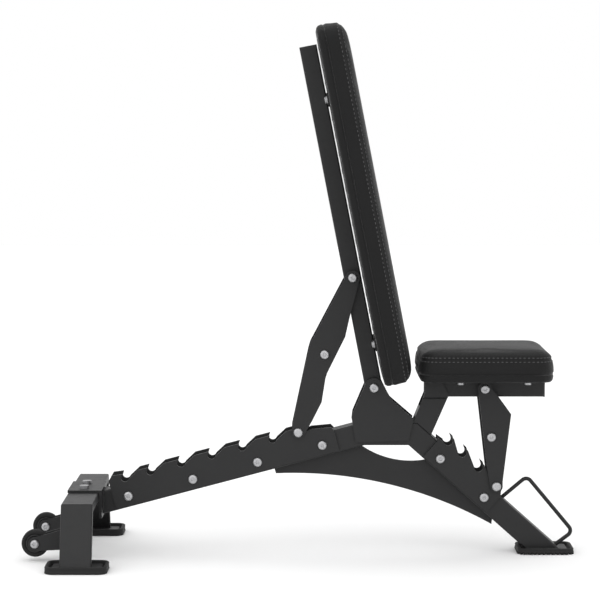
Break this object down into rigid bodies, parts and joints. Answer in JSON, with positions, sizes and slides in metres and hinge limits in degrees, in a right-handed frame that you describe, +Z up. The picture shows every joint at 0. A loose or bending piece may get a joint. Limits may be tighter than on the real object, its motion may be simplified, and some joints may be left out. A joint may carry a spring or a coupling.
{
  "type": "adjustable weight bench",
  "caption": "Adjustable weight bench with a padded back rest and seat on notched ladder supports, a splayed rear stand with transport wheels and a front lift handle.",
  "frame": {"origin": "on the floor, under the centre of the bounding box", "axes": "+X towards the seat end, +Y across the bench, +Z up"},
  "size_m": [1.264, 0.62, 1.2213],
  "materials": {
    "frame_paint": "satin",
    "zinc": "satin",
    "steel": "satin",
    "vinyl": "satin",
    "plywood": "matte",
    "foot_rubber": "matte",
    "tyre": "matte",
    "hub_plastic": "satin",
    "cap_plastic": "matte"
  },
  "bodies": {
    "base": {"main_tube": "frame_paint", "centre_tube": "frame_paint", "front_leg_tube": "frame_paint", "neck_tube": "frame_paint", "gusset_plate": "frame_paint", "rear_ladder_plate_left": "frame_paint", "rear_ladder_plate_right": "frame_paint", "front_ladder_plate_left": "frame_paint", "front_ladder_plate_right": "frame_paint", "hinge_bracket_left": "frame_paint", "hinge_bracket_right": "frame_paint", "seat_hinge_ears": "frame_paint", "frame_bolts": "zinc", "back_hinge_bolt": "zinc", "seat_hinge_pin": "frame_paint", "rear_crossbeam": "frame_paint", "rear_saddle_bracket": "frame_paint", "saddle_bolts": "steel", "rear_foot_left": "foot_rubber", "rear_foot_right": "foot_rubber", "rear_foot_plates": "frame_paint", "front_foot": "foot_rubber", "front_foot_plate": "frame_paint", "wheel_bracket_left": "frame_paint", "wheel_bracket_right": "frame_paint", "wheel_axle_bolts": "zinc", "lift_handle": "frame_paint"},
    "back_frame": {"back_tube": "frame_paint", "back_tube_cap": "cap_plastic", "back_hinge_sleeve": "steel", "back_strut_sleeve": "steel", "back_mount_plates": "frame_paint", "back_board": "plywood", "back_pad_bolts": "zinc", "back_pad": "vinyl"},
    "back_strut": {"back_strut_plate_left": "frame_paint", "back_strut_plate_right": "frame_paint", "back_strut_bolts": "zinc", "back_strut_spacer": "steel", "back_strut_lock_bolt": "zinc", "back_strut_roller": "steel"},
    "seat_frame": {"seat_tube": "frame_paint", "seat_tube_cap": "cap_plastic", "seat_hinge_sleeve": "steel", "seat_strut_sleeve": "steel", "seat_mount_plates": "frame_paint", "seat_board": "plywood", "seat_pad_bolts": "zinc", "seat_pad": "vinyl"},
    "seat_strut": {"seat_strut_plate_left": "frame_paint", "seat_strut_plate_right": "frame_paint", "seat_strut_bolts": "zinc", "seat_strut_spacer": "steel", "seat_strut_lock_bolt": "zinc", "seat_strut_roller": "steel"},
    "wheel_left": {"wheel_tyre_left": "tyre", "wheel_hub_left": "hub_plastic"},
    "wheel_right": {"wheel_tyre_right": "tyre", "wheel_hub_right": "hub_plastic"}
  },
  "joints": [
    {"name": "back_recline", "type": "hinge", "parent": "base", "child": "back_frame", "pos_m": [0.1701, 0, 0.3842], "axis": [0, -1, 0], "range_deg": [0, 78.98]},
    {"name": "back_strut_swing", "type": "hinge", "parent": "back_frame", "child": "back_strut", "pos_m": [0.12078, 0, 0.63795], "axis": [0, -1, 0], "range_deg": [-116.26, 0]},
    {"name": "seat_tilt", "type": "hinge", "parent": "base", "child": "seat_frame", "pos_m": [0.302, 0, 0.391], "axis": [0, -1, 0], "range_deg": [0, 20.68]},
    {"name": "seat_strut_swing", "type": "hinge", "parent": "seat_frame", "child": "seat_strut", "pos_m": [0.4247, 0, 0.3822], "axis": [0, -1, 0], "range_deg": [-29.75, 0]},
    {"name": "wheel_left_spin", "type": "hinge", "parent": "base", "child": "wheel_left", "pos_m": [-0.601, -0.123, 0.04], "axis": [0, 1, 0], "continuous": true},
    {"name": "wheel_right_spin", "type": "hinge", "parent": "base", "child": "wheel_right", "pos_m": [-0.601, 0.123, 0.04], "axis": [0, 1, 0], "continuous": true}
  ],
  "couplings": [
    {"joint": "back_strut_swing", "follows": "back_recline", "ratio": -1.4714},
    {"joint": "seat_strut_swing", "follows": "seat_tilt", "ratio": -1.4364}
  ]
}
